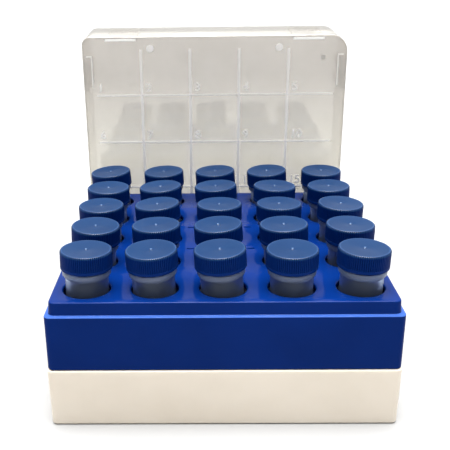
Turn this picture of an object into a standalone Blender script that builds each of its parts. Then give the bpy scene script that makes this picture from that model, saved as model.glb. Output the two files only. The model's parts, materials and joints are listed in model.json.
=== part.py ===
"""Cryogenic storage box for twenty-five screw-cap vials, with its lid standing behind it.

The box has three mouldings: a cream base tray, a blue rack whose top plate
holds the vials, and a loose translucent lid. Each vial is a tube and a cap.
World origin: middle of the tray's underside. +Z is up and the front is -Y.
"""
import math

import bmesh
import bpy
from mathutils import Matrix, Vector

MM = 0.001

# The grid of vials
ROWS = 5
COLUMNS = 5
PITCH = 25.8 * MM

# The vials stand loose in their holes. Degrees that each top leans to the
# right (+) or left (-), from the back row to the front row.
SIDE_LEANS = [
    [-4.4, -2.5, -3.2, -3.7, 0.0],
    [0.2, -3.7, -3.7, 1.0, -1.0],
    [-0.2, -4.2, -0.8, -0.2, 2.0],
    [2.2, -1.7, -3.7, -2.0, 0.5],
    [1.2, -2.7, -3.5, -0.7, 1.7],
]
# Degrees that each top leans to the back (+) or front (-)
BACK_LEANS = [
    [-1.2, -0.9, -0.5, -1.2, -0.8],
    [-0.7, 0.5, 1.2, 1.2, 0.0],
    [-0.8, 1.2, 1.1, 1.2, -0.7],
    [-1.2, 1.0, 0.0, 0.5, 0.0],
    [0.8, -1.2, -1.0, -1.2, 0.0],
]
LEAN_PIVOT_Z = 44.0 * MM       # height at which a leaning vial crosses its hole's axis

# Rounded outline of every box moulding
CORNER_STEPS = 3
CORNER_RADIUS = 2.5 * MM
KEY_RADIUS = 9.5 * MM          # the one large corner that keys lid and rack

# Base tray
BASE_FOOT_HALF = 65.6 * MM
BASE_RIM_HALF = 66.5 * MM
BASE_HEIGHT = 23.7 * MM
BASE_FLOOR = 2.0 * MM
BASE_RIM_INNER_HALF = 64.9 * MM
BASE_FLOOR_HALF = 63.2 * MM
BASE_CHAMFER = 0.8 * MM

# Blue rack
RACK_PLATE_TOP = 51.0 * MM
RACK_PLATE_HALF = 64.45 * MM
RACK_PLATE_THICKNESS = 2.0 * MM
RACK_SHOULDER_INNER_HALF = 62.9 * MM
RACK_LEDGE_Z = 45.9 * MM
RACK_LEDGE_HALF = 66.2 * MM
RACK_SKIRT_HALF = 66.5 * MM
RACK_SKIRT_INNER_HALF = 64.2 * MM
RACK_SKIRT_BOTTOM = 24.0 * MM
RACK_TONGUE_BOTTOM = 19.8 * MM
RACK_TONGUE_HALF = 64.5 * MM
RACK_TONGUE_INNER_HALF = 63.2 * MM
RACK_EDGE = 0.6 * MM
RACK_DRAFT = 0.3 * MM
HOLE_RADIUS = 9.0 * MM
HOLE_SIDES = 16

# Lid, drawn closed side up with its panel's outer face at z = 0
LID_PANEL_HALF = 65.5 * MM
LID_RIM_HALF = 66.2 * MM
LID_DEPTH = 30.0 * MM
LID_WALL = 1.0 * MM
LID_PANEL_THICKNESS = 1.5 * MM
LID_EDGE = 0.9 * MM
LID_STAND_X = -1.1 * MM         # the lid stands a little off the box's middle
LID_STAND_Y = 68.0 * MM

# Vial tube
TUBE_SIDES = 12
TUBE_RADIUS = 8.1 * MM
TUBE_BORE_RADIUS = 6.8 * MM
TUBE_BOTTOM = 2.4 * MM
TUBE_BORE_BOTTOM = 4.0 * MM
FOOT_CHAMFER = 2.4 * MM
TUBE_SHOULDER = 54.5 * MM
NECK_RADIUS = 7.25 * MM
NECK_BORE_RADIUS = 6.1 * MM
NECK_TOP = 65.0 * MM
COLLAR_RADIUS = 9.2 * MM
COLLAR_TOP = 59.2 * MM
COLLAR_THICKNESS = 2.4 * MM

# Vial cap
CAP_SIDES = 16
CAP_RADIUS = 9.8 * MM
CAP_BORE_RADIUS = 7.7 * MM
CAP_BOTTOM = 59.6 * MM
CAP_TOP = 66.8 * MM
CAP_CEILING = 65.3 * MM
CAP_EDGE = 0.8 * MM


def clear_scene():
    """Remove every object that the new file came with."""
    for obj in list(bpy.data.objects):
        bpy.data.objects.remove(obj, do_unlink=True)


def make_material(name, color, roughness, alpha=1.0):
    """Principled plastic in one plain colour."""
    material = bpy.data.materials.new(name)
    material.use_nodes = True
    shader = material.node_tree.nodes["Principled BSDF"]
    shader.inputs["Base Color"].default_value = (*color, 1.0)
    shader.inputs["Roughness"].default_value = roughness
    shader.inputs["Metallic"].default_value = 0.0
    shader.inputs["Alpha"].default_value = alpha
    material.diffuse_color = (*color, alpha)
    return material


def add_object(name, mesh, material, collection):
    """Put a mesh in the scene under its node name."""
    obj = bpy.data.objects.new(name, mesh)
    if material and not mesh.materials:
        mesh.materials.append(material)
    collection.objects.link(obj)
    return obj


def outline(half, key_radius, z):
    """Rounded square, anticlockwise, whose back right corner has the key radius."""
    points = []
    corners = [(1, 1, key_radius), (-1, 1, CORNER_RADIUS), (-1, -1, CORNER_RADIUS), (1, -1, CORNER_RADIUS)]
    for quarter, (side_x, side_y, radius) in enumerate(corners):
        for step in range(CORNER_STEPS + 1):
            angle = math.radians(90.0 * (quarter + step / CORNER_STEPS))
            x = side_x * (half - radius) + radius * math.cos(angle)
            y = side_y * (half - radius) + radius * math.sin(angle)
            points.append((x, y, z))
    return points


def loft(name, sections):
    """Solid skinned through a stack of (half width, key radius, height) outlines."""
    bm = bmesh.new()
    rings = []
    for half, key_radius, z in sections:
        rings.append([bm.verts.new(point) for point in outline(half, key_radius, z)])
    for ring, following in zip(rings, rings[1:]):
        for index in range(len(ring)):
            bm.faces.new((ring[index - 1], ring[index], following[index], following[index - 1]))
    bm.faces.new(rings[0])
    bm.faces.new(rings[-1])
    bmesh.ops.recalc_face_normals(bm, faces=bm.faces)
    mesh = bpy.data.meshes.new(name)
    bm.to_mesh(mesh)
    bm.free()
    return mesh


def turned(name, profile, sides, material, collection):
    """Round piece: a profile in the XZ plane, spun about the object's own Z axis."""
    bm = bmesh.new()
    verts = [bm.verts.new((radius, 0.0, z)) for radius, z in profile]
    for a, b in zip(verts, verts[1:]):
        bm.edges.new((a, b))
    mesh = bpy.data.meshes.new(name)
    bm.to_mesh(mesh)
    bm.free()
    obj = add_object(name, mesh, material, collection)
    screw = obj.modifiers.new("Spin", "SCREW")
    screw.steps = sides
    screw.render_steps = sides
    screw.use_merge_vertices = True
    screw.merge_threshold = 0.00005
    screw.use_smooth_shade = True
    return obj


def vial_places():
    """Row, column and axis of each vial; row 1 is the back row, column 1 the left."""
    for row in range(1, ROWS + 1):
        for column in range(1, COLUMNS + 1):
            x = (column - (COLUMNS + 1) / 2) * PITCH
            y = ((ROWS + 1) / 2 - row) * PITCH
            yield row, column, (x, y)


def stand(obj, row, column, hole_xy):
    """Lean a vial piece about its hole, resting on the low edge of the tube's foot."""
    side = math.tan(math.radians(SIDE_LEANS[row - 1][column - 1]))
    back = math.tan(math.radians(BACK_LEANS[row - 1][column - 1]))
    axis = Vector((side, back, 1.0)).normalized()
    turn = Vector((0.0, 0.0, 1.0)).rotation_difference(axis)
    lift = (TUBE_RADIUS - FOOT_CHAMFER) * math.hypot(side, back)
    pivot = Vector((*hole_xy, LEAN_PIVOT_Z + lift))
    obj.rotation_mode = "QUATERNION"
    obj.rotation_quaternion = turn
    obj.location = pivot - LEAN_PIVOT_Z * axis


def build_base(collection):
    """Open tray that the vials stand in."""
    rim_key = KEY_RADIUS * 0.5
    sections = [
        (BASE_FOOT_HALF - BASE_CHAMFER, rim_key, 0.0),
        (BASE_FOOT_HALF, rim_key, BASE_CHAMFER),
        (BASE_RIM_HALF, rim_key, BASE_HEIGHT),
        (BASE_RIM_INNER_HALF, rim_key, BASE_HEIGHT),
        (BASE_FLOOR_HALF, rim_key, BASE_FLOOR),
    ]
    cream = make_material("cream_plastic", (0.78, 0.69, 0.58), 0.38)
    return add_object("base", loft("base", sections), cream, collection)


def build_rack(collection, cutters):
    """Blue upper half: holed top plate, shoulder, ledge for the lid, skirt and tongue."""
    ledge_key = KEY_RADIUS * 0.5
    sections = [
        (RACK_PLATE_HALF - RACK_EDGE, KEY_RADIUS, RACK_PLATE_TOP),
        (RACK_PLATE_HALF, KEY_RADIUS, RACK_PLATE_TOP - RACK_EDGE),
        (RACK_PLATE_HALF + RACK_DRAFT, KEY_RADIUS, RACK_LEDGE_Z),
        (RACK_LEDGE_HALF - RACK_EDGE / 2, ledge_key, RACK_LEDGE_Z),
        (RACK_LEDGE_HALF, ledge_key, RACK_LEDGE_Z - RACK_EDGE / 2),
        (RACK_SKIRT_HALF, ledge_key, RACK_SKIRT_BOTTOM),
        (RACK_TONGUE_HALF, ledge_key, RACK_SKIRT_BOTTOM),
        (RACK_TONGUE_HALF, ledge_key, RACK_TONGUE_BOTTOM),
        (RACK_TONGUE_INNER_HALF, ledge_key, RACK_TONGUE_BOTTOM),
        (RACK_TONGUE_INNER_HALF, ledge_key, RACK_SKIRT_BOTTOM + 1.5 * MM),
        (RACK_SKIRT_INNER_HALF, ledge_key, RACK_SKIRT_BOTTOM + 3.0 * MM),
        (RACK_SKIRT_INNER_HALF, ledge_key, RACK_LEDGE_Z - 2.0 * MM),
        (RACK_SHOULDER_INNER_HALF, KEY_RADIUS, RACK_LEDGE_Z - 1.0 * MM),
        (RACK_SHOULDER_INNER_HALF, KEY_RADIUS, RACK_PLATE_TOP - RACK_PLATE_THICKNESS),
    ]
    blue = make_material("blue_plastic", (0.02, 0.06, 0.36), 0.30)
    rack = add_object("rack", loft("rack", sections), blue, collection)

    bm = bmesh.new()
    for _, _, (x, y) in vial_places():
        bmesh.ops.create_cone(
            bm,
            cap_ends=True,
            segments=HOLE_SIDES,
            radius1=HOLE_RADIUS,
            radius2=HOLE_RADIUS,
            depth=RACK_PLATE_THICKNESS * 3,
            matrix=Matrix.Translation((x, y, RACK_PLATE_TOP - RACK_PLATE_THICKNESS / 2)),
        )
    mesh = bpy.data.meshes.new("rack_holes")
    bm.to_mesh(mesh)
    bm.free()
    holes = add_object("rack_holes", mesh, None, cutters)
    holes.hide_render = True
    holes.display_type = "WIRE"
    cut = rack.modifiers.new("Vial holes", "BOOLEAN")
    cut.operation = "DIFFERENCE"
    cut.solver = "EXACT"
    cut.object = holes
    return rack


def build_lid(collection):
    """Shallow cover that stands behind the box on one of its tapered walls."""
    sections = [
        (LID_PANEL_HALF - LID_EDGE, KEY_RADIUS, 0.0),
        (LID_PANEL_HALF, KEY_RADIUS, -LID_EDGE),
        (LID_RIM_HALF, KEY_RADIUS, -LID_DEPTH),
        (LID_RIM_HALF - LID_WALL, KEY_RADIUS, -LID_DEPTH),
        (LID_PANEL_HALF - LID_WALL, KEY_RADIUS, -LID_PANEL_THICKNESS),
    ]
    frosted = make_material("frosted_plastic", (0.70, 0.68, 0.64), 0.45, alpha=0.6)
    lid = add_object("lid", loft("lid", sections), frosted, collection)
    draft = math.atan((LID_RIM_HALF - LID_PANEL_HALF) / (LID_DEPTH - LID_EDGE))
    foot = LID_PANEL_HALF * math.cos(draft) - LID_EDGE * math.sin(draft)
    lid.rotation_euler = (math.radians(90.0) + draft, 0.0, 0.0)
    lid.location = (LID_STAND_X, LID_STAND_Y, foot)
    return lid


def tube_profile():
    """From the floor of the bore up to the mouth, then down the outside."""
    return [
        (0.0, TUBE_BORE_BOTTOM),
        (TUBE_BORE_RADIUS, TUBE_BORE_BOTTOM + 1.5 * MM),
        (TUBE_BORE_RADIUS, TUBE_SHOULDER),
        (NECK_BORE_RADIUS, TUBE_SHOULDER + 1.5 * MM),
        (NECK_BORE_RADIUS, NECK_TOP),
        (NECK_RADIUS, NECK_TOP),
        (NECK_RADIUS, COLLAR_TOP),
        (COLLAR_RADIUS, COLLAR_TOP),
        (COLLAR_RADIUS, COLLAR_TOP - COLLAR_THICKNESS),
        (TUBE_RADIUS, COLLAR_TOP - COLLAR_THICKNESS - 0.6 * MM),
        (TUBE_RADIUS, TUBE_BOTTOM + FOOT_CHAMFER),
        (TUBE_RADIUS - FOOT_CHAMFER, TUBE_BOTTOM),
        (0.0, TUBE_BOTTOM),
    ]


def cap_profile():
    """From the middle of the top down the outside, then up the thread bore."""
    return [
        (0.0, CAP_TOP),
        (CAP_RADIUS - CAP_EDGE, CAP_TOP),
        (CAP_RADIUS, CAP_TOP - CAP_EDGE),
        (CAP_RADIUS, CAP_BOTTOM),
        (CAP_BORE_RADIUS, CAP_BOTTOM),
        (CAP_BORE_RADIUS, CAP_CEILING),
        (0.0, CAP_CEILING),
    ]


def build_vials(collection):
    """Twenty-five tubes, each with its own cap."""
    tube_plastic = make_material("tube_plastic", (0.74, 0.74, 0.72), 0.40, alpha=0.7)
    cap_plastic = make_material("cap_plastic", (0.03, 0.12, 0.34), 0.42)
    for row, column, hole_xy in vial_places():
        place = f"{row}{column}"
        tube = turned(f"tube_{place}", tube_profile(), TUBE_SIDES, tube_plastic, collection)
        cap = turned(f"cap_{place}", cap_profile(), CAP_SIDES, cap_plastic, collection)
        stand(tube, row, column, hole_xy)
        stand(cap, row, column, hole_xy)


def main():
    clear_scene()
    scene = bpy.context.scene
    collection = bpy.data.collections.new("cryogenic_storage_box")
    cutters = bpy.data.collections.new("cutters")
    scene.collection.children.link(collection)
    scene.collection.children.link(cutters)
    build_base(collection)
    build_rack(collection, cutters)
    build_lid(collection)
    build_vials(collection)


main()
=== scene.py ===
"""Looks of the cryogenic storage box: mouldings, vials, studio and camera.

Shapes are drawn in millimetres and turned into metres by finish_mesh. +Z is
up, the front is -Y, and the origin is the middle of the tray's underside.
"""
import json
import math

import bmesh
import bpy
from mathutils import Matrix, Vector


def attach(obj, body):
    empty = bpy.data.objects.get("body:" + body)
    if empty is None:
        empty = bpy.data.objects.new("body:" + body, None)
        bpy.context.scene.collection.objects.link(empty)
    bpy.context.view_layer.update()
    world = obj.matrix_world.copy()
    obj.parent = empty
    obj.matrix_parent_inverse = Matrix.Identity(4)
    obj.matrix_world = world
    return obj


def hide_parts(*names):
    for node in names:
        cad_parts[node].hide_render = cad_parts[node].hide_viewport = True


MM = 0.001

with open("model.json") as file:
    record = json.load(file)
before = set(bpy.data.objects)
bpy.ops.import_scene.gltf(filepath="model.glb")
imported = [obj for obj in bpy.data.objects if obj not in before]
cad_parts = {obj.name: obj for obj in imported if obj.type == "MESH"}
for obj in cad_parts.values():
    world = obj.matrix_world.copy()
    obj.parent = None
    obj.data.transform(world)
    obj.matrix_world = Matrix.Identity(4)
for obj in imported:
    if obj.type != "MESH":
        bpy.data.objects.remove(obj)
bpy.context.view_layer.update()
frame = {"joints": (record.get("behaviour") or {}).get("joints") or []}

# ---------------------------------------------------------------- sizes in millimetres
# The grid of vials
ROWS = 5
COLUMNS = 5
PITCH = 25.8
MIDDLE_LINE = (COLUMNS - 2) / 2     # index of the middle among the lines between cells
LEAN_PIVOT_Z = 44.0                 # height at which a leaning vial crosses its hole's axis

# Rounded outline of every box moulding
CORNER_RADIUS = 2.5
CORNER_STEPS = 10
SMALLEST_RADIUS = 0.4
KEY_RADIUS = 9.5                    # the one large corner, at the back right
SKIRT_KEY_RADIUS = KEY_RADIUS * 0.5
SHARP_DEGREES = 35.0

# Tray
SEAM_Z = 23.7
RIM_HALF = 66.5
RIM_EDGE = 0.7
RIM_STRAIGHT_Z = 21.5
FOOT_HALF = 66.1
FOOT_EDGE = 0.9
RECESS_HALF = 60.0
RECESS_DEPTH = 0.6
MOUTH_HALF = 64.9
MOUTH_EDGE = 0.3
MOUTH_BOTTOM_Z = 18.0
TRAY_FLOOR_Z = 2.0
TRAY_FLOOR_HALF = 63.2
TRAY_FLOOR_EDGE = 0.8
FLOOR_RIB_REACH = 62.0
FLOOR_RIB_HALF_WIDTH = 0.6
FLOOR_RIB_HEIGHT = 2.6

# Rack
PLATE_TOP = 51.0
PLATE_HALF = 64.45
PLATE_EDGE = 0.6
PLATE_THICKNESS = 2.0
SHOULDER_DRAFT = 0.3
SHOULDER_FILLET = 0.4
SHOULDER_INNER_HALF = 62.9
LEDGE_Z = 45.9
LEDGE_HALF = 66.2
LEDGE_EDGE = 0.5
LEDGE_INNER_HALF = 65.3             # the shoulder's foot stays inside this half width
SKIRT_HALF = 66.15
SKIRT_EDGE = 0.25
SKIRT_INNER_HALF = 64.2
SKIRT_BOTTOM = SEAM_Z + 0.3
TONGUE_HALF = 64.5
TONGUE_INNER_HALF = 63.2
TONGUE_BOTTOM = 19.8
TONGUE_TOP = 25.5
TONGUE_CHAMFER = 0.5
HOLE_RADIUS = 9.0
HOLE_EDGE = 0.6
HOLE_CUT_ABOVE = 3.0
HOLE_CUT_BELOW = 4.0
DASH_HALF_LENGTH = 1.6
DASH_HALF_WIDTH = 0.3
DASH_HEIGHT = 0.28
UPWARD_FACE = 0.3                   # least upward part of the normal of a face that takes the plate's blue, whose lighter tone is painted sheen

# Lid, drawn closed side up with its panel's outer face at z = 0
LID_HALF = 65.5
LID_RIM_HALF = 66.2
LID_DEPTH = 30.0
LID_WALL = 1.0
LID_PANEL = 1.5
LID_EDGE = 0.9
LID_CORNER = 5.2
LID_FLAT_HALF = LID_HALF - 1.4      # the panel's faces are flat inside this half width
LID_SPLIT_DEPTH = 13.0              # the wall is two rings that meet at this depth
LID_SPLIT_HALF = LID_HALF + 0.27
LID_RING_GAP = 0.02
LID_LIP_HEIGHT = 0.3
LID_LIP_CHAMFER = 0.2
LID_GRID = 24.3
LID_STAND_X = -1.1
LID_STAND_Y = 68.0

# Marks on the lid: how far they sink into the panel, and their places on it
MARK_SINK = 0.1
GRID_REACH = 59.3
GRID_UPRIGHT_HALF_WIDTH = 0.6
GRID_LEVEL_HALF_WIDTH = 0.4
BRACKET_INNER = LID_HALF - 4.6
BRACKET_OUTER = LID_HALF - 2.2
BRACKET_LOW = 40.6
BRACKET_HIGH = 55.9
# pale bars painted on the panel where the pads' ends show bright through it
PAD_LIGHT_BAR_CENTRE = 46.2
PAD_LIGHT_BAR_HALF_LENGTH = 7.6
PAD_CENTRE = 45.8
PAD_HALF_LENGTH = 7.5
PAD_DEPTH = 28.0
EJECTOR_X = 31.8
EJECTOR_Y = 59.6
EJECTOR_RADIUS = 1.9
GATE_PLACE = (53.6, 54.5)
GATE_RADIUS = 1.3
DISC_DEPTH = 0.3
DISC_TAPER = 0.1
NUMBER_SIZE = 5.9
NUMBER_OFFSET = (2.2, 2.0)          # from the lower left corner of its cell
NUMBER_HEIGHT = 0.06

# Vial tube
VIAL_SIDES = 64
TUBE_RADIUS = 8.1
TUBE_BOTTOM = 2.4
TUBE_FOOT_RADIUS = 5.7              # a leaning vial is raised by this times its slope
BORE_RADIUS = 6.8
BORE_BOTTOM = 4.0
BORE_EDGE = 1.6
BORE_TOP = 54.5
WALL_SPLITS = (20.0, 37.0)          # heights that split the long walls for even shading
NECK_RADIUS = 7.05
NECK_BORE_RADIUS = 6.1
NECK_TOP = 65.0
THREAD_TOP = 64.6
THREAD_BOTTOM = 59.3
THREAD_PITCH = 2.6
THREAD_HEIGHT = 0.42
THREAD_FADE = 0.8
THREAD_STEP = 0.25
THREAD_STEPS = 22
COLLAR_RADIUS = 9.1
COLLAR_TOP = 59.2
COLLAR_BOTTOM = 56.2
COLLAR_INNER_RADIUS = 7.3

# Vial cap
CAP_RADIUS = 9.78
CAP_BAND_RADIUS = 9.79
CAP_BOTTOM = 59.6
CAP_FACE_Z = 66.6
CAP_EDGE = 0.72
CAP_EDGE_Z = 66.0
CAP_BORE_RADIUS = 7.7
CAP_CEILING = 65.3
CAP_TOP_FACE = 0.97                 # least upward part of the normal of a top face, and of an edge face
CAP_EDGE_FACE = 0.35
KNURL_INNER_RADIUS = 9.2
KNURL_BOTTOM = 60.75
KNURL_DEPTH = 0.36
KNURL_COUNT = 78
KNURL_POINTS = 4
SEAL_RADIUS = 6.95
SEAL_Z = 65.15
SEAL_SECTION_RADIUS = 0.13
SEAL_POINTS = 12


# ---------------------------------------------------------------- meshes
def arc(centre_r, centre_z, radius, start, end, steps):
    """Points of an arc in a profile; angles in degrees from outward towards up."""
    points = []
    for step in range(steps + 1):
        angle = math.radians(start + (end - start) * step / steps)
        points.append((centre_r + radius * math.cos(angle), centre_z + radius * math.sin(angle)))
    return points


def finish_mesh(name, bm):
    """Turn a bmesh in millimetres into a smooth-shaded mesh in metres."""
    bmesh.ops.recalc_face_normals(bm, faces=bm.faces)
    bmesh.ops.scale(bm, vec=(MM, MM, MM), verts=bm.verts)
    mesh = bpy.data.meshes.new(name)
    bm.to_mesh(mesh)
    bm.free()
    shade(mesh)
    return mesh


def shade(mesh):
    """Smooth shading that keeps the sharp edges."""
    mesh.shade_smooth()
    mesh.set_sharp_from_angle(angle=math.radians(SHARP_DEGREES))


def place(name, mesh, material, matrix=None):
    """Link a mesh as a named piece; a mesh with materials of its own keeps them."""
    piece = bpy.data.objects.new(name, mesh)
    bpy.context.scene.collection.objects.link(piece)
    if not mesh.materials:
        mesh.materials.append(material)
    if matrix is not None:
        piece.matrix_world = matrix
    return piece


def stand_for(piece, node):
    """Put a piece in a CAD node's place; each body is named after its one node."""
    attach(piece, node)
    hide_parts(node)


def apply_modifiers(piece):
    """Bake an object's modifiers into its mesh."""
    graph = bpy.context.evaluated_depsgraph_get()
    mesh = bpy.data.meshes.new_from_object(piece.evaluated_get(graph))
    piece.modifiers.clear()
    piece.data = mesh


def outline(half, reference, key_radius, z, plain_radius=CORNER_RADIUS):
    """Rounded square offset inwards from a reference size, key corner at the back right."""
    inset = reference - half
    points = []
    corners = [(1, 1, key_radius), (-1, 1, plain_radius), (-1, -1, plain_radius), (1, -1, plain_radius)]
    for quarter, (side_x, side_y, full_radius) in enumerate(corners):
        radius = max(full_radius - inset, SMALLEST_RADIUS)
        for step in range(CORNER_STEPS + 1):
            angle = math.radians(90.0 * (quarter + step / CORNER_STEPS))
            x = side_x * (half - radius) + radius * math.cos(angle)
            y = side_y * (half - radius) + radius * math.sin(angle)
            points.append((x, y, z))
    return points


def skin(bm, rings, close_ends=True):
    """Quads between rings that have the same number of points."""
    loops = [[bm.verts.new(point) for point in ring] for ring in rings]
    for ring, following in zip(loops, loops[1:]):
        for index in range(len(ring)):
            bm.faces.new((ring[index - 1], ring[index], following[index], following[index - 1]))
    if close_ends:
        bm.faces.new(loops[0])
        bm.faces.new(loops[-1])


def close_ring(bm, rings):
    """Skin that runs on from its last ring to its first."""
    skin(bm, [*rings, rings[0]], close_ends=False)
    bmesh.ops.remove_doubles(bm, verts=bm.verts, dist=0.001)


def moulding(name, profile, reference, key_radius, plain_radius=CORNER_RADIUS):
    """Rounded-square solid from a profile of (half width, height) points."""
    bm = bmesh.new()
    skin(bm, [outline(half, reference, key_radius, z, plain_radius) for half, z in profile])
    return finish_mesh(name, bm)


def lathe(name, profile, sides, shape=None):
    """Turned solid. shape(radius, z, angle) may change the radius round the axis."""
    bm = bmesh.new()
    rings = []
    for radius, z in profile:
        if radius <= 0.0:
            rings.append([bm.verts.new((0.0, 0.0, z))])
            continue
        ring = []
        for index in range(sides):
            angle = 2.0 * math.pi * index / sides
            r = shape(radius, z, angle) if shape else radius
            ring.append(bm.verts.new((r * math.cos(angle), r * math.sin(angle), z)))
        rings.append(ring)
    for ring, following in zip(rings, rings[1:]):
        for index in range(sides):
            if len(ring) == 1:
                bm.faces.new((ring[0], following[index], following[index - 1]))
            elif len(following) == 1:
                bm.faces.new((ring[index - 1], ring[index], following[0]))
            else:
                bm.faces.new((ring[index - 1], ring[index], following[index], following[index - 1]))
    return finish_mesh(name, bm)


def add_bar(bm, low, high, bevel):
    """A small bar with rounded edges, added to a bmesh."""
    centre = [(a + b) / 2 for a, b in zip(low, high)]
    size = [b - a for a, b in zip(low, high)]
    made = bmesh.ops.create_cube(bm, size=1.0)
    bmesh.ops.scale(bm, vec=size, verts=made["verts"])
    bmesh.ops.translate(bm, vec=centre, verts=made["verts"])
    edges = list({edge for vert in made["verts"] for edge in vert.link_edges})
    bmesh.ops.bevel(bm, geom=edges, offset=bevel, segments=2, affect="EDGES")


def add_disc(bm, x, y, z, radius):
    """A shallow round mark with a slight taper, added to a bmesh."""
    bmesh.ops.create_cone(
        bm, cap_ends=True, segments=32, radius1=radius, radius2=radius - DISC_TAPER, depth=DISC_DEPTH,
        matrix=Matrix.Translation((x, y, z)),
    )


def hole_places():
    """Row, column and hole centre in millimetres; row 1 is at the back."""
    for row in range(1, ROWS + 1):
        for column in range(1, COLUMNS + 1):
            x = (column - (COLUMNS + 1) / 2) * PITCH
            y = ((ROWS + 1) / 2 - row) * PITCH
            yield row, column, x, y


# ---------------------------------------------------------------- material nodes
# Noise values at which the darker and the lighter tone stand, and the two roughnesses
TONE_SPAN = (0.32, 0.68)
ROUGHNESS_SPAN = (0.3, 0.7)
# Features per metre
TONE_SCALE = 38.0
CLEAR_TONE_SCALE = 45.0
OVERLAY_TONE_SCALE = 60.0
FLOOR_TONE_SCALE = 3.0
GLOSS_SCALE = 90.0
CLEAR_GLOSS_SCALE = 120.0
GRAIN_SCALE = 2600.0
CLEAR_GRAIN_SCALE = 1500.0


def new_material(name):
    material = bpy.data.materials.new(name)
    material.use_nodes = True
    return material, material.node_tree, material.node_tree.nodes["Principled BSDF"]


def add_noise(tree, scale, detail=3.0, roughness=0.5):
    """Noise in object space; the scale is in features per metre."""
    coords = tree.nodes.new("ShaderNodeTexCoord")
    texture = tree.nodes.new("ShaderNodeTexNoise")
    texture.inputs["Scale"].default_value = scale
    texture.inputs["Detail"].default_value = detail
    texture.inputs["Roughness"].default_value = roughness
    tree.links.new(coords.outputs["Object"], texture.inputs["Vector"])
    return texture


def drift(tree, texture, dark, light):
    """Colour that drifts between two close tones."""
    ramp = tree.nodes.new("ShaderNodeValToRGB")
    for element, position, tone in zip(ramp.color_ramp.elements, TONE_SPAN, (dark, light)):
        element.position = position
        element.color = (*tone, 1.0)
    tree.links.new(texture.outputs["Fac"], ramp.inputs["Fac"])
    return ramp.outputs["Color"]


def vary_color(tree, shader, texture, dark, light):
    """Drift the base colour between two close tones."""
    tree.links.new(drift(tree, texture, dark, light), shader.inputs["Base Color"])


def lay_over(material, mask, dark, light):
    """Put another pair of tones over a material's colour where a mask is 1."""
    tree = material.node_tree
    shader = tree.nodes["Principled BSDF"]
    under = shader.inputs["Base Color"].links[0].from_socket
    over = drift(tree, add_noise(tree, OVERLAY_TONE_SCALE, 4.0), dark, light)
    mix = tree.nodes.new("ShaderNodeMixRGB")
    tree.links.new(mask, mix.inputs["Fac"])
    tree.links.new(under, mix.inputs["Color1"])
    tree.links.new(over, mix.inputs["Color2"])
    tree.links.new(mix.outputs["Color"], shader.inputs["Base Color"])


def height(tree):
    """Height in the piece's own frame."""
    coords = tree.nodes.new("ShaderNodeTexCoord")
    split = tree.nodes.new("ShaderNodeSeparateXYZ")
    tree.links.new(coords.outputs["Object"], split.inputs["Vector"])
    return split.outputs["Z"]


def recolor_above(material, low, high, dark, light):
    """Fade to other tones between two heights in millimetres."""
    tree = material.node_tree
    span = tree.nodes.new("ShaderNodeMapRange")
    span.inputs["From Min"].default_value = low * MM
    span.inputs["From Max"].default_value = high * MM
    tree.links.new(height(tree), span.inputs["Value"])
    lay_over(material, span.outputs["Result"], dark, light)


def recolor_level(material, level, reach, dark, light):
    """Give other tones to what lies within a reach of a height, both in millimetres."""
    tree = material.node_tree
    near = tree.nodes.new("ShaderNodeMath")
    near.operation = "COMPARE"
    near.inputs[1].default_value = level * MM
    near.inputs[2].default_value = reach * MM
    tree.links.new(height(tree), near.inputs[0])
    lay_over(material, near.outputs[0], dark, light)


def vary_roughness(tree, shader, texture, low, high):
    """Drift the roughness between two values."""
    span = tree.nodes.new("ShaderNodeMapRange")
    span.inputs["From Min"].default_value = ROUGHNESS_SPAN[0]
    span.inputs["From Max"].default_value = ROUGHNESS_SPAN[1]
    span.inputs["To Min"].default_value = low
    span.inputs["To Max"].default_value = high
    tree.links.new(texture.outputs["Fac"], span.inputs["Value"])
    tree.links.new(span.outputs["Result"], shader.inputs["Roughness"])


def add_bump(tree, shader, texture, strength, distance):
    """Fine moulded texture; the distance is in metres."""
    bump = tree.nodes.new("ShaderNodeBump")
    bump.inputs["Strength"].default_value = strength
    bump.inputs["Distance"].default_value = distance
    tree.links.new(texture.outputs["Fac"], bump.inputs["Height"])
    tree.links.new(bump.outputs["Normal"], shader.inputs["Normal"])


def opaque_plastic(name, dark, light, rough, ior=1.5, grain_depth=0.00002, sss=0.0):
    """Moulded polypropylene: slow colour drift, uneven gloss and a fine grain."""
    material, tree, shader = new_material(name)
    vary_color(tree, shader, add_noise(tree, TONE_SCALE, 4.0), dark, light)
    vary_roughness(tree, shader, add_noise(tree, GLOSS_SCALE, 5.0, 0.6), rough[0], rough[1])
    add_bump(tree, shader, add_noise(tree, GRAIN_SCALE, 2.0), 0.35, grain_depth)
    shader.inputs["IOR"].default_value = ior
    if sss:
        shader.inputs["Subsurface Weight"].default_value = sss
        shader.inputs["Subsurface Radius"].default_value = (1.0, 0.85, 0.7)
        shader.inputs["Subsurface Scale"].default_value = 0.0015
    return material


def clear_plastic(name, dark, light, rough, transmission, ior=1.49, grain_depth=0.00001):
    """Natural polypropylene that lets light through and blurs it a little."""
    material, tree, shader = new_material(name)
    vary_color(tree, shader, add_noise(tree, CLEAR_TONE_SCALE, 3.0), dark, light)
    vary_roughness(tree, shader, add_noise(tree, CLEAR_GLOSS_SCALE, 4.0), rough[0], rough[1])
    add_bump(tree, shader, add_noise(tree, CLEAR_GRAIN_SCALE, 2.0), 0.3, grain_depth)
    shader.inputs["IOR"].default_value = ior
    shader.inputs["Transmission Weight"].default_value = transmission
    return material


# ---------------------------------------------------------------- materials
# Tray
cream = opaque_plastic(
    "cream_plastic", (0.71, 0.635, 0.53), (0.76, 0.685, 0.58), rough=(0.34, 0.46), sss=0.1,
)
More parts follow.
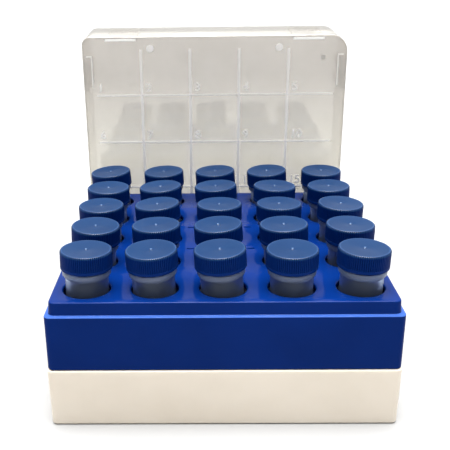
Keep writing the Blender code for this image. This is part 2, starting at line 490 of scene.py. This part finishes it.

# Rack: its upright faces, and its glossier upward faces, whose lighter blue is painted sheen, with a paler
# ledge band that is a painted highlight
blue = opaque_plastic(
    "blue_plastic", (0.0008, 0.0140, 0.104), (0.0012, 0.0168, 0.124), rough=(0.12, 0.18), ior=1.12,
)
# painted sheen: the upward faces' blue is lighter than the walls', for the overhead light they catch
plate_blue_painted_sheen = opaque_plastic(
    "blue_plate_painted_sheen", (0.0010, 0.0180, 0.128), (0.0014, 0.0215, 0.152), rough=(0.08, 0.12), ior=1.215,
)
# painted highlight: a paler band along the ledge, where it catches the overhead light
recolor_level(
    plate_blue_painted_sheen, level=LEDGE_Z - 0.1, reach=0.35,
    dark=(0.0290, 0.0880, 0.350), light=(0.0340, 0.0980, 0.380),
)

# Cap: side with a painted highlight on the upper ends of its ribs, glossy edge, and a top whose greyer blue
# is painted sheen, with a painted highlight on its rim and nub
cap_blue = opaque_plastic(
    "cap_plastic", (0.0002, 0.0125, 0.092), (0.0004, 0.0160, 0.112), rough=(0.34, 0.44), ior=1.12,
)
# painted highlight: a paler ring where the ribs' upper ends catch the overhead light
recolor_level(
    cap_blue, level=CAP_EDGE_Z + 0.15, reach=0.25,
    dark=(0.008, 0.034, 0.110), light=(0.010, 0.040, 0.130),
)
# the edge shares the top's greyer blue of painted sheen; its gloss comes from its lower roughness and higher
# IOR
cap_edge_blue = opaque_plastic(
    "cap_edge_plastic", (0.0045, 0.0240, 0.080), (0.0070, 0.0310, 0.096),
    rough=(0.09, 0.13), ior=1.38, grain_depth=0.000004,
)
# painted sheen: the top is greyer and paler than the side
cap_top_painted_sheen = opaque_plastic(
    "cap_top_painted_sheen_plastic", (0.0045, 0.0240, 0.078), (0.0070, 0.0310, 0.094), rough=(0.28, 0.36), ior=1.18,
)
# painted highlight: a paler line on the rim and the nub
recolor_above(
    cap_top_painted_sheen, low=CAP_FACE_Z + 0.04, high=CAP_FACE_Z + 0.10,
    dark=(0.012, 0.044, 0.125), light=(0.016, 0.052, 0.145),
)
# painted highlight: the nub's top paler still
recolor_above(
    cap_top_painted_sheen, low=CAP_FACE_Z + 0.13, high=CAP_FACE_Z + 0.17,
    dark=(0.080, 0.150, 0.280), light=(0.100, 0.170, 0.310),
)
seal_white = opaque_plastic(
    "seal_silicone", (0.72, 0.70, 0.66), (0.78, 0.76, 0.72), rough=(0.5, 0.6),
)

# Lid: panel whose lower part is painted paler against the shade that falls on it, greyer towards its top,
# two wall rings, and what is moulded on them
# heights over which the lid's painted light fades from the paler low tones to the greyer upper ones
GREYER_FROM = 70.0
GREYER_TO = 112.0
lid_haze_painted_light = clear_plastic(
    "lid_hazy_plastic_painted_light", (0.865, 0.83, 0.735), (0.905, 0.87, 0.775), rough=(0.05, 0.09), transmission=0.60,
)
# painted light: the panel stays paler below these heights, where it lies in shade, and turns greyer above
recolor_above(
    lid_haze_painted_light, low=GREYER_FROM, high=GREYER_TO,
    dark=(0.600, 0.562, 0.507), light=(0.640, 0.602, 0.547),
)
lid_haze_painted_light.node_tree.nodes["Principled BSDF"].inputs["Coat Weight"].default_value = 1.0
lid_haze_painted_light.node_tree.nodes["Principled BSDF"].inputs["Coat Roughness"].default_value = 0.02
lid_clear = clear_plastic(
    "lid_plastic", (0.78, 0.755, 0.70), (0.82, 0.795, 0.74), rough=(0.05, 0.09), transmission=0.82, ior=1.2,
)
lid_rim = clear_plastic(
    "lid_rim_plastic", (0.66, 0.63, 0.575), (0.69, 0.66, 0.605),
    rough=(0.12, 0.18), transmission=0.96, ior=1.2,
)
lid_pad = clear_plastic(
    "lid_pad_plastic", (0.95, 0.94, 0.92), (0.97, 0.96, 0.94),
    rough=(0.35, 0.45), transmission=0.90, ior=1.15,
)
lid_mark = opaque_plastic(
    "lid_mark_plastic", (0.93, 0.91, 0.87), (0.96, 0.94, 0.90), rough=(0.40, 0.50), ior=1.3,
)
# painted light: the marks stay paler low down, where the vials shade them, and turn greyer above
recolor_above(
    lid_mark, low=GREYER_FROM, high=GREYER_TO,
    dark=(0.775, 0.75, 0.705), light=(0.815, 0.79, 0.745),
)
# painted light: pale bars standing for the pads' bright ends seen through the panel, over the shade the pads
# cast
lid_pad_light_paint = opaque_plastic(
    "lid_painted_pad_light", (0.95, 0.935, 0.90), (0.97, 0.955, 0.92), rough=(0.40, 0.50), ior=1.3,
)
lid_spot = opaque_plastic(
    "lid_spot_plastic", (0.42, 0.40, 0.37), (0.48, 0.46, 0.42), rough=(0.40, 0.50), ior=1.3,
)

# Tube and its collar
tube_clear = clear_plastic(
    "tube_plastic", (0.36, 0.45, 0.62), (0.42, 0.51, 0.68),
    rough=(0.28, 0.36), transmission=0.945, ior=1.25, grain_depth=0.0,
)
collar_frost = clear_plastic(
    "collar_plastic", (0.40, 0.49, 0.66), (0.46, 0.55, 0.72), rough=(0.30, 0.40), transmission=0.80, ior=1.4,
)


# ---------------------------------------------------------------- box mouldings
def build_tray():
    """Cream tray with a rolled rim, a rounded foot and low ribs on its floor."""
    profile = [
        (RECESS_HALF, RECESS_DEPTH),
        (RECESS_HALF + RECESS_DEPTH, 0.0),
        *arc(FOOT_HALF - FOOT_EDGE, FOOT_EDGE, FOOT_EDGE, -90, 0, 5),
        (RIM_HALF - 0.03, RIM_STRAIGHT_Z),
        *arc(RIM_HALF - RIM_EDGE, SEAM_Z - RIM_EDGE, RIM_EDGE, 0, 90, 6),
        *arc(MOUTH_HALF + MOUTH_EDGE, SEAM_Z - MOUTH_EDGE, MOUTH_EDGE, 90, 180, 4),
        (MOUTH_HALF, MOUTH_BOTTOM_Z),
        *arc(TRAY_FLOOR_HALF - TRAY_FLOOR_EDGE, TRAY_FLOOR_Z + TRAY_FLOOR_EDGE, TRAY_FLOOR_EDGE, 0, -90, 4),
    ]
    mesh = moulding("tray", profile, RIM_HALF, SKIRT_KEY_RADIUS)
    stand_for(place("tray", mesh, cream), "base")

    bm = bmesh.new()
    low = TRAY_FLOOR_Z - 0.1
    high = TRAY_FLOOR_Z + FLOOR_RIB_HEIGHT
    for index in range(COLUMNS - 1):
        left = (index - MIDDLE_LINE) * PITCH - FLOOR_RIB_HALF_WIDTH
        right = (index - MIDDLE_LINE) * PITCH + FLOOR_RIB_HALF_WIDTH
        add_bar(bm, (left, -FLOOR_RIB_REACH, low), (right, FLOOR_RIB_REACH, high), bevel=0.25)
        add_bar(bm, (-FLOOR_RIB_REACH, left, low), (FLOOR_RIB_REACH, right, high), bevel=0.25)
    ribs = place("tray_ribs", finish_mesh("tray_ribs", bm), cream)
    stand_for(ribs, "base")


def rack_mesh():
    """Plate, shoulder, ledge, skirt and tongue, still without holes."""
    profile = [
        *arc(PLATE_HALF - PLATE_EDGE, PLATE_TOP - PLATE_EDGE, PLATE_EDGE, 90, 0, 5),
        *arc(
            PLATE_HALF + SHOULDER_DRAFT + SHOULDER_FILLET, LEDGE_Z + SHOULDER_FILLET, SHOULDER_FILLET,
            180, 270, 3,
        ),
        *arc(LEDGE_HALF - LEDGE_EDGE, LEDGE_Z - LEDGE_EDGE, LEDGE_EDGE, 90, 0, 5),
        (SKIRT_HALF, SKIRT_BOTTOM + 2 * SKIRT_EDGE),
        *arc(SKIRT_HALF - SKIRT_EDGE, SKIRT_BOTTOM + SKIRT_EDGE, SKIRT_EDGE, 0, -90, 3),
        (TONGUE_HALF, SKIRT_BOTTOM),
        (TONGUE_HALF - 0.05, TONGUE_BOTTOM + TONGUE_CHAMFER),
        (TONGUE_HALF - TONGUE_CHAMFER, TONGUE_BOTTOM),
        (TONGUE_INNER_HALF + 0.1, TONGUE_BOTTOM),
        (TONGUE_INNER_HALF, TONGUE_TOP),
        (SKIRT_INNER_HALF, TONGUE_TOP + 1.5),
        (SKIRT_INNER_HALF, LEDGE_Z - 2.0),
        (SHOULDER_INNER_HALF, LEDGE_Z - 1.0),
        (SHOULDER_INNER_HALF, PLATE_TOP - PLATE_THICKNESS),
    ]
    bm = bmesh.new()
    rings = []
    for half, z in profile:
        if z > LEDGE_Z - LEDGE_EDGE and half < LEDGE_INNER_HALF:
            rings.append(outline(half, PLATE_HALF, KEY_RADIUS, z))
        else:
            rings.append(outline(half, LEDGE_HALF, SKIRT_KEY_RADIUS, z))
    skin(bm, rings)
    return finish_mesh("rack_moulding", bm)


def hole_cutters():
    """One object that holds a cutter for every hole, with a flare for its rounded rim."""
    profile = [
        (0.0, PLATE_TOP + HOLE_CUT_ABOVE),
        (HOLE_RADIUS + HOLE_EDGE, PLATE_TOP + HOLE_CUT_ABOVE),
        (HOLE_RADIUS + HOLE_EDGE, PLATE_TOP + 0.01),
        *arc(HOLE_RADIUS + HOLE_EDGE, PLATE_TOP - HOLE_EDGE, HOLE_EDGE, 100, 180, 4),
        (HOLE_RADIUS, PLATE_TOP - HOLE_CUT_BELOW),
        (0.0, PLATE_TOP - HOLE_CUT_BELOW),
    ]
    one_cutter = lathe("hole_cutter", profile, 64)
    bm = bmesh.new()
    for _, _, x, y in hole_places():
        start = len(bm.verts)
        bm.from_mesh(one_cutter)
        bm.verts.ensure_lookup_table()
        bmesh.ops.translate(bm, vec=(x * MM, y * MM, 0.0), verts=bm.verts[start:])
    mesh = bpy.data.meshes.new("hole_cutters")
    bm.to_mesh(mesh)
    bm.free()
    cutters = bpy.data.objects.new("hole_cutters", mesh)
    bpy.context.scene.collection.objects.link(cutters)
    return cutters


def build_rack():
    """Blue rack with softened hole rims, and the dashes between its middle holes."""
    rack = place("rack_moulding", rack_mesh(), blue)
    cutters = hole_cutters()
    cut = rack.modifiers.new("Holes", "BOOLEAN")
    cut.operation = "DIFFERENCE"
    cut.solver = "EXACT"
    cut.object = cutters
    apply_modifiers(rack)
    bpy.data.objects.remove(cutters, do_unlink=True)
    shade(rack.data)
    rack.data.materials.append(plate_blue_painted_sheen)
    # upward faces take the lighter blue of painted sheen
    for face in rack.data.polygons:
        if face.normal.z > UPWARD_FACE:
            face.material_index = 1
    stand_for(rack, "rack")

    bm = bmesh.new()
    for x in (-PITCH / 2, PITCH / 2):
        for y in (-PITCH / 2, PITCH / 2):
            low = (x - DASH_HALF_LENGTH, y - DASH_HALF_WIDTH, PLATE_TOP - 0.3)
            high = (x + DASH_HALF_LENGTH, y + DASH_HALF_WIDTH, PLATE_TOP + DASH_HEIGHT)
            add_bar(bm, low, high, bevel=0.12)
    marks = place("rack_marks", finish_mesh("rack_marks", bm), blue)
    stand_for(marks, "rack")


# ---------------------------------------------------------------- lid
def lid_matrix():
    """Turn the lid from closed side up to standing on its tapered wall."""
    draft = math.atan((LID_RIM_HALF - LID_HALF) / (LID_DEPTH - LID_EDGE))
    foot = LID_HALF * math.cos(draft) - LID_EDGE * math.sin(draft)
    turn = Matrix.Rotation(math.radians(90.0) + draft, 4, "X")
    return Matrix.Translation((LID_STAND_X * MM, LID_STAND_Y * MM, foot * MM)) @ turn


def lid_piece(name, mesh, material):
    """A part of the lid, drawn closed side up, stood up behind the box."""
    mesh.transform(lid_matrix())
    stand_for(place(name, mesh, material), "lid")


def lid_ring(name, profile, material):
    """A closed band running round the lid."""
    bm = bmesh.new()
    close_ring(bm, [outline(half, LID_RIM_HALF, KEY_RADIUS, z, LID_CORNER) for half, z in profile])
    lid_piece(name, finish_mesh(name, bm), material)


def build_lid_shell():
    """Panel with a rounded edge, and the two rings of the tapered wall."""
    near_wall = [
        (LID_HALF + 0.01, -LID_PANEL - LID_RING_GAP),
        (LID_SPLIT_HALF, -LID_SPLIT_DEPTH + LID_RING_GAP),
        (LID_SPLIT_HALF - LID_WALL, -LID_SPLIT_DEPTH + LID_RING_GAP),
        (LID_HALF - LID_WALL, -LID_PANEL - LID_RING_GAP),
    ]
    lid_ring("lid_near_wall", near_wall, lid_clear)

    far_wall = [
        (LID_SPLIT_HALF, -LID_SPLIT_DEPTH - LID_RING_GAP),
        (LID_RIM_HALF - 0.1, -LID_DEPTH + LID_LIP_HEIGHT),
        (LID_RIM_HALF - 0.1 - LID_LIP_CHAMFER, -LID_DEPTH),
        (LID_RIM_HALF - LID_WALL + LID_LIP_CHAMFER, -LID_DEPTH),
        (LID_RIM_HALF - LID_WALL, -LID_DEPTH + LID_LIP_HEIGHT),
        (LID_SPLIT_HALF - LID_WALL, -LID_SPLIT_DEPTH - LID_RING_GAP),
    ]
    lid_ring("lid_far_wall", far_wall, lid_rim)

    panel = [
        (LID_FLAT_HALF, 0.0),
        *arc(LID_HALF - LID_EDGE, -LID_EDGE, LID_EDGE, 90, 0, 5),
        (LID_HALF, -LID_PANEL + 0.1),
        (LID_HALF - 0.1, -LID_PANEL),
        (LID_FLAT_HALF, -LID_PANEL),
    ]
    lid_piece("lid_panel", moulding("lid_panel", panel, LID_RIM_HALF, KEY_RADIUS, LID_CORNER), lid_haze_painted_light)


def build_lid_lines():
    """Raised grid and corner brackets, and pale bars above the grid, painted where the pads' ends show
    bright through the panel.
    """
    bm = bmesh.new()
    for index in range(COLUMNS - 1):
        middle = (index - MIDDLE_LINE) * LID_GRID
        low = (middle - GRID_UPRIGHT_HALF_WIDTH, -GRID_REACH, -MARK_SINK)
        high = (middle + GRID_UPRIGHT_HALF_WIDTH, GRID_REACH, 0.10)
        add_bar(bm, low, high, bevel=0.08)
        low = (-GRID_REACH, middle - GRID_LEVEL_HALF_WIDTH, -MARK_SINK)
        high = (GRID_REACH, middle + GRID_LEVEL_HALF_WIDTH, 0.12)
        add_bar(bm, low, high, bevel=0.08)
    for side in (-1, 1):
        inner = side * BRACKET_INNER
        outer = side * BRACKET_OUTER
        low = (inner - 0.3, BRACKET_LOW, -MARK_SINK)
        high = (inner + 0.3, BRACKET_HIGH, 0.16)
        add_bar(bm, low, high, bevel=0.1)
        low = (min(inner, outer) - 0.25, BRACKET_HIGH - 0.4, -0.12)
        high = (max(inner, outer) + 0.25, BRACKET_HIGH + 0.3, 0.14)
        add_bar(bm, low, high, bevel=0.1)
    lid_piece("lid_grid", finish_mesh("lid_grid", bm), lid_mark)

    # painted light: pale bars where the pads' ends show through the panel
    bm = bmesh.new()
    for centre in (-PAD_LIGHT_BAR_CENTRE, PAD_LIGHT_BAR_CENTRE):
        low = (centre - PAD_LIGHT_BAR_HALF_LENGTH, LID_HALF - 2.3, -MARK_SINK)
        high = (centre + PAD_LIGHT_BAR_HALF_LENGTH, LID_HALF - 1.15, 0.12)
        add_bar(bm, low, high, bevel=0.1)
    lid_piece("lid_painted_pad_light_bars", finish_mesh("lid_painted_pad_light_bars", bm), lid_pad_light_paint)


def build_lid_pads():
    """Two pads inside each of the four walls."""
    bm = bmesh.new()
    for side in range(4):
        turn = Matrix.Rotation(math.radians(90.0 * side), 4, "Z")
        for centre in (-PAD_CENTRE, PAD_CENTRE):
            start = len(bm.verts)
            low = (centre - PAD_HALF_LENGTH, LID_HALF - 2.4, -PAD_DEPTH)
            high = (centre + PAD_HALF_LENGTH, LID_HALF - 0.6, -LID_PANEL - 0.2)
            add_bar(bm, low, high, bevel=0.3)
            bm.verts.ensure_lookup_table()
            bmesh.ops.transform(bm, matrix=turn, verts=bm.verts[start:])
    lid_piece("lid_pads", finish_mesh("lid_pads", bm), lid_pad)


def build_lid_spots():
    """Two ejector marks and the gate mark."""
    bm = bmesh.new()
    for x in (-EJECTOR_X, EJECTOR_X):
        add_disc(bm, x, EJECTOR_Y, 0.0, EJECTOR_RADIUS)
    lid_piece("lid_ejector_marks", finish_mesh("lid_ejector_marks", bm), lid_mark)

    bm = bmesh.new()
    add_disc(bm, *GATE_PLACE, -0.05, GATE_RADIUS)
    lid_piece("lid_gate_mark", finish_mesh("lid_gate_mark", bm), lid_spot)


def number_mesh(name, number):
    """Raised figures in millimetres, standing on their lower left corner."""
    curve = bpy.data.curves.new(name, "FONT")
    curve.body = str(number)
    curve.size = NUMBER_SIZE
    curve.extrude = 0.12
    curve.bevel_depth = 0.03
    curve.offset = 0.05
    text = bpy.data.objects.new(name, curve)
    bpy.context.scene.collection.objects.link(text)
    bpy.context.view_layer.update()
    graph = bpy.context.evaluated_depsgraph_get()
    mesh = bpy.data.meshes.new_from_object(text.evaluated_get(graph))
    bpy.data.objects.remove(text, do_unlink=True)
    return mesh


def build_lid_numbers():
    """A number in the lower left corner of each cell, from the top row down."""
    for number in range(1, ROWS * COLUMNS + 1):
        row, column = divmod(number - 1, COLUMNS)
        name = f"lid_number_{number}"
        x = (column - COLUMNS / 2) * LID_GRID + NUMBER_OFFSET[0]
        y = (ROWS / 2 - 1 - row) * LID_GRID + NUMBER_OFFSET[1]
        mesh = number_mesh(name, number)
        mesh.transform(Matrix.Scale(MM, 4) @ Matrix.Translation((x, y, NUMBER_HEIGHT)))
        lid_piece(name, mesh, lid_mark)


# ---------------------------------------------------------------- vials
def knurl(radius, z, angle):
    """Narrow grooves between flat ribs on the side of the cap."""
    if radius < KNURL_INNER_RADIUS or z < KNURL_BOTTOM or z > CAP_FACE_Z:
        return radius
    point = round(angle * KNURL_COUNT * KNURL_POINTS / (2.0 * math.pi))
    return radius - (KNURL_DEPTH if point % KNURL_POINTS == 0 else 0.0)


def cap_mesh():
    """Knurled cap with a plain band below, a rolled rim and a gate nub in a small dimple."""
    profile = [
        (0.0, CAP_FACE_Z + 0.19),
        (0.38, CAP_FACE_Z + 0.17),
        (0.55, CAP_FACE_Z),
        (0.75, CAP_FACE_Z - 0.14),
        (1.5, CAP_FACE_Z - 0.1),
        (1.9, CAP_FACE_Z),
        (8.6, CAP_FACE_Z + 0.02),
        (9.0, CAP_FACE_Z + 0.10),
        *arc(CAP_RADIUS - CAP_EDGE, CAP_EDGE_Z, CAP_EDGE, 90, 8, 5),
        (CAP_RADIUS, CAP_EDGE_Z - 0.5),
        (CAP_RADIUS, KNURL_BOTTOM + 0.05),
        (CAP_RADIUS, KNURL_BOTTOM - 0.05),
        (CAP_BAND_RADIUS, KNURL_BOTTOM - 0.15),
        (CAP_BAND_RADIUS, CAP_BOTTOM + 0.2),
        (CAP_BAND_RADIUS - 0.19, CAP_BOTTOM),
        (CAP_BORE_RADIUS + 0.2, CAP_BOTTOM),
        (CAP_BORE_RADIUS, CAP_BOTTOM + 0.2),
        (CAP_BORE_RADIUS, CAP_CEILING),
        (0.0, CAP_CEILING),
    ]
    mesh = lathe("cap", profile, KNURL_COUNT * KNURL_POINTS, knurl)
    mesh.materials.append(cap_blue)
    mesh.materials.append(cap_top_painted_sheen)
    mesh.materials.append(cap_edge_blue)
    # top faces, and the edge faces too, take the greyer blue of painted sheen
    for face in mesh.polygons:
        if face.normal.z > CAP_TOP_FACE:
            face.material_index = 1
        elif face.normal.z > CAP_EDGE_FACE and face.center.z > (CAP_EDGE_Z - 1.0) * MM:
            face.material_index = 2
    return mesh


def thread(radius, z, angle):
    """Helical thread on the neck, fading out at both ends."""
    if radius != NECK_RADIUS:
        return radius
    turn = (z / THREAD_PITCH - angle / (2.0 * math.pi)) % 1.0
    ridge = max(0.0, 1.0 - abs(turn - 0.5) * 4.0)
    fade = min(1.0, (z - THREAD_BOTTOM) / THREAD_FADE, (THREAD_TOP - z) / THREAD_FADE)
    return radius + THREAD_HEIGHT * ridge * max(fade, 0.0)


def tube_mesh():
    """Tube from the bottom of its bore, over the neck and down to its foot."""
    profile = [
        (0.0, BORE_BOTTOM),
        (BORE_RADIUS - BORE_EDGE, BORE_BOTTOM + 0.3),
        *arc(BORE_RADIUS - BORE_EDGE, BORE_BOTTOM + 0.3 + BORE_EDGE, BORE_EDGE, -80, 0, 3),
        *[(BORE_RADIUS, z) for z in WALL_SPLITS],
        (BORE_RADIUS, BORE_TOP),
        (NECK_BORE_RADIUS, BORE_TOP + 1.5),
        (NECK_BORE_RADIUS, NECK_TOP - 0.3),
        (NECK_BORE_RADIUS + 0.2, NECK_TOP),
        (NECK_RADIUS - 0.2, NECK_TOP),
        *[(NECK_RADIUS, THREAD_TOP - THREAD_STEP * step) for step in range(THREAD_STEPS)],
        (NECK_RADIUS + 0.2, COLLAR_TOP),
        (TUBE_RADIUS - 0.2, COLLAR_TOP - 0.1),
        (TUBE_RADIUS, COLLAR_TOP - 0.4),
        (TUBE_RADIUS, COLLAR_BOTTOM),
        *[(TUBE_RADIUS, z) for z in reversed(WALL_SPLITS)],
        (TUBE_RADIUS, TUBE_BOTTOM + 3.0),
        (TUBE_RADIUS - 0.2, TUBE_BOTTOM + 2.2),
        (TUBE_FOOT_RADIUS + 0.3, TUBE_BOTTOM + 0.1),
        (TUBE_FOOT_RADIUS - 0.1, TUBE_BOTTOM),
        (TUBE_FOOT_RADIUS - 0.5, TUBE_BOTTOM + 0.3),
        (0.0, TUBE_BOTTOM + 0.5),
    ]
    return lathe("tube", profile, VIAL_SIDES, thread)


def collar_mesh():
    """Frosted ring under the cap."""
    profile = [
        (COLLAR_INNER_RADIUS, COLLAR_TOP),
        (COLLAR_RADIUS - 0.2, COLLAR_TOP),
        (COLLAR_RADIUS, COLLAR_TOP - 0.2),
        (COLLAR_RADIUS, COLLAR_BOTTOM + 1.2),
        (COLLAR_RADIUS - 0.2, COLLAR_BOTTOM + 0.8),
        (COLLAR_RADIUS - 0.7, COLLAR_BOTTOM + 0.5),
        (TUBE_RADIUS + 0.02, COLLAR_BOTTOM),
        (COLLAR_INNER_RADIUS + 0.3, COLLAR_BOTTOM),
        (COLLAR_INNER_RADIUS, COLLAR_TOP),
    ]
    return lathe("collar", profile, VIAL_SIDES)


def seal_mesh():
    """Round ring that the cap presses on the neck."""
    last_angle = 360.0 - 360.0 / SEAL_POINTS
    section = arc(SEAL_RADIUS, SEAL_Z, SEAL_SECTION_RADIUS, 0, last_angle, SEAL_POINTS - 1)
    rings = []
    for index in range(VIAL_SIDES):
        angle = 2.0 * math.pi * index / VIAL_SIDES
        rings.append([(r * math.cos(angle), r * math.sin(angle), z) for r, z in section])
    bm = bmesh.new()
    close_ring(bm, rings)
    return finish_mesh("seal", bm)


def vial_matrix(row, column, x, y):
    """Place of a vial, which leans as its joint's axis does and is turned by its own angle."""
    joint = next(j for j in frame["joints"] if j["name"] == f"tube_{row}{column}_lift")
    axis = Vector(joint["axis"]).normalized()
    lean = Vector((0.0, 0.0, 1.0)).rotation_difference(axis).to_matrix().to_4x4()
    lift = TUBE_FOOT_RADIUS * math.hypot(axis.x / axis.z, axis.y / axis.z)
    pivot = Vector((x * MM, y * MM, (LEAN_PIVOT_Z + lift) * MM))
    spin = Matrix.Rotation(math.radians(37.0 * row + 61.0 * column), 4, "Z")
    return Matrix.Translation(pivot - LEAN_PIVOT_Z * MM * axis) @ lean @ spin


def build_vials():
    """Tube, collar, cap and seal of every vial; the copies share their meshes."""
    kinds = [
        ("vial_tube", tube_mesh(), tube_clear, "tube"),
        ("vial_collar", collar_mesh(), collar_frost, "tube"),
        ("vial_cap", cap_mesh(), cap_blue, "cap"),
        ("vial_seal", seal_mesh(), seal_white, "cap"),
    ]
    for row, column, x, y in hole_places():
        matrix = vial_matrix(row, column, x, y)
        for name, mesh, material, carrier in kinds:
            piece = place(f"{name}_{row}{column}", mesh, material, matrix)
            stand_for(piece, f"{carrier}_{row}{column}")


# ---------------------------------------------------------------- studio
# Strengths of the backdrop as the camera sees it, and of the light on the box
WHITE_WALL = 1.0
OVERHEAD_LIGHT = 13.0
LAMP_LIGHT = 14.0
FRONT_LIGHT = 0.3
BACKDROP_LIGHT = 0.75
# Powers of the upward direction: a higher one is a smaller light
OVERHEAD_FOCUS = 8.0
LAMP_FOCUS = 60.0
# Backward share of a direction up to which the front light holds, and from which the backdrop's does
FRONT_LIGHT_TO = -0.2
BACKDROP_LIGHT_FROM = 0.4

FLOOR_HALF_M = 12.0
FLOOR_DROP_M = 0.0002


def build_floor():
    """Pale paper just under the tray."""
    bm = bmesh.new()
    bmesh.ops.create_grid(bm, x_segments=1, y_segments=1, size=FLOOR_HALF_M)
    mesh = bpy.data.meshes.new("floor")
    bm.to_mesh(mesh)
    bm.free()
    material, tree, shader = new_material("floor_paper")
    vary_color(tree, shader, add_noise(tree, FLOOR_TONE_SCALE), (0.355, 0.355, 0.355), (0.365, 0.365, 0.365))
    shader.inputs["Roughness"].default_value = 0.9
    floor = place("floor", mesh, material)
    floor.location.z = -FLOOR_DROP_M


def build_world():
    """Soft studio: a wide softbox and a small lamp overhead, a pale backdrop, dimmer in front."""
    world = bpy.data.worlds.new("studio")
    bpy.context.scene.world = world
    world.use_nodes = True
    tree = world.node_tree
    background = tree.nodes["Background"]
    coords = tree.nodes.new("ShaderNodeTexCoord")
    split = tree.nodes.new("ShaderNodeSeparateXYZ")
    tree.links.new(coords.outputs["Generated"], split.inputs["Vector"])
    upward = tree.nodes.new("ShaderNodeMath")
    upward.operation = "MAXIMUM"
    upward.inputs[1].default_value = 0.0
    tree.links.new(split.outputs["Z"], upward.inputs[0])
    around = tree.nodes.new("ShaderNodeMapRange")
    around.inputs["From Min"].default_value = FRONT_LIGHT_TO
    around.inputs["From Max"].default_value = BACKDROP_LIGHT_FROM
    around.inputs["To Min"].default_value = FRONT_LIGHT
    around.inputs["To Max"].default_value = BACKDROP_LIGHT
    tree.links.new(split.outputs["Y"], around.inputs["Value"])
    light = around.outputs["Result"]
    for strength, focus in ((OVERHEAD_LIGHT, OVERHEAD_FOCUS), (LAMP_LIGHT, LAMP_FOCUS)):
        power = tree.nodes.new("ShaderNodeMath")
        power.operation = "POWER"
        power.inputs[1].default_value = focus
        tree.links.new(upward.outputs[0], power.inputs[0])
        gain = tree.nodes.new("ShaderNodeMath")
        gain.operation = "MULTIPLY_ADD"
        gain.inputs[1].default_value = strength
        tree.links.new(power.outputs[0], gain.inputs[0])
        tree.links.new(light, gain.inputs[2])
        light = gain.outputs[0]
    path = tree.nodes.new("ShaderNodeLightPath")
    seen = tree.nodes.new("ShaderNodeMix")
    seen.data_type = "FLOAT"
    tree.links.new(path.outputs["Is Camera Ray"], seen.inputs["Factor"])
    tree.links.new(light, seen.inputs["A"])
    seen.inputs["B"].default_value = WHITE_WALL
    tree.links.new(seen.outputs["Result"], background.inputs["Strength"])
    background.inputs["Color"].default_value = (1.0, 1.0, 1.0, 1.0)


# ---------------------------------------------------------------- camera
CAMERA_PLACE = (-7.84, -309.24, 171.66)
CAMERA_DOWN_DEGREES = 20.34
CAMERA_RIGHT_DEGREES = -0.99        # heading, from +Y towards +X
CAMERA_ROLL_DEGREES = -0.76
CAMERA_SENSOR = 36.0
CAMERA_LENS = 59.99
CAMERA_SHIFT = 0.078


def build_camera():
    """The photograph's viewpoint: in front, looking 20 degrees down."""
    down = math.radians(CAMERA_DOWN_DEGREES)
    heading = math.radians(CAMERA_RIGHT_DEGREES)
    roll = math.radians(CAMERA_ROLL_DEGREES)
    level_forward = Vector((math.sin(heading), math.cos(heading), 0.0))
    forward = level_forward * math.cos(down) - Vector((0.0, 0.0, math.sin(down)))
    right = Vector((math.cos(heading), -math.sin(heading), 0.0))
    up = right.cross(forward)
    rolled_right = right * math.cos(roll) + up * math.sin(roll)
    rolled_up = up * math.cos(roll) - right * math.sin(roll)
    data = bpy.data.cameras.new("camera")
    data.sensor_width = CAMERA_SENSOR
    data.lens = CAMERA_LENS
    data.shift_x = CAMERA_SHIFT
    data.clip_start = 0.01
    data.dof.use_dof = False
    camera = bpy.data.objects.new("camera", data)
    bpy.context.scene.collection.objects.link(camera)
    matrix = Matrix((rolled_right, rolled_up, -forward)).transposed().to_4x4()
    matrix.translation = Vector(CAMERA_PLACE) * MM
    camera.matrix_world = matrix
    bpy.context.scene.camera = camera


build_camera()
build_tray()
build_rack()
build_lid_shell()
build_lid_lines()
build_lid_pads()
build_lid_spots()
build_lid_numbers()
build_vials()
build_floor()
build_world()
bpy.context.scene.view_settings.view_transform = "Standard"

bpy.context.view_layer.update()
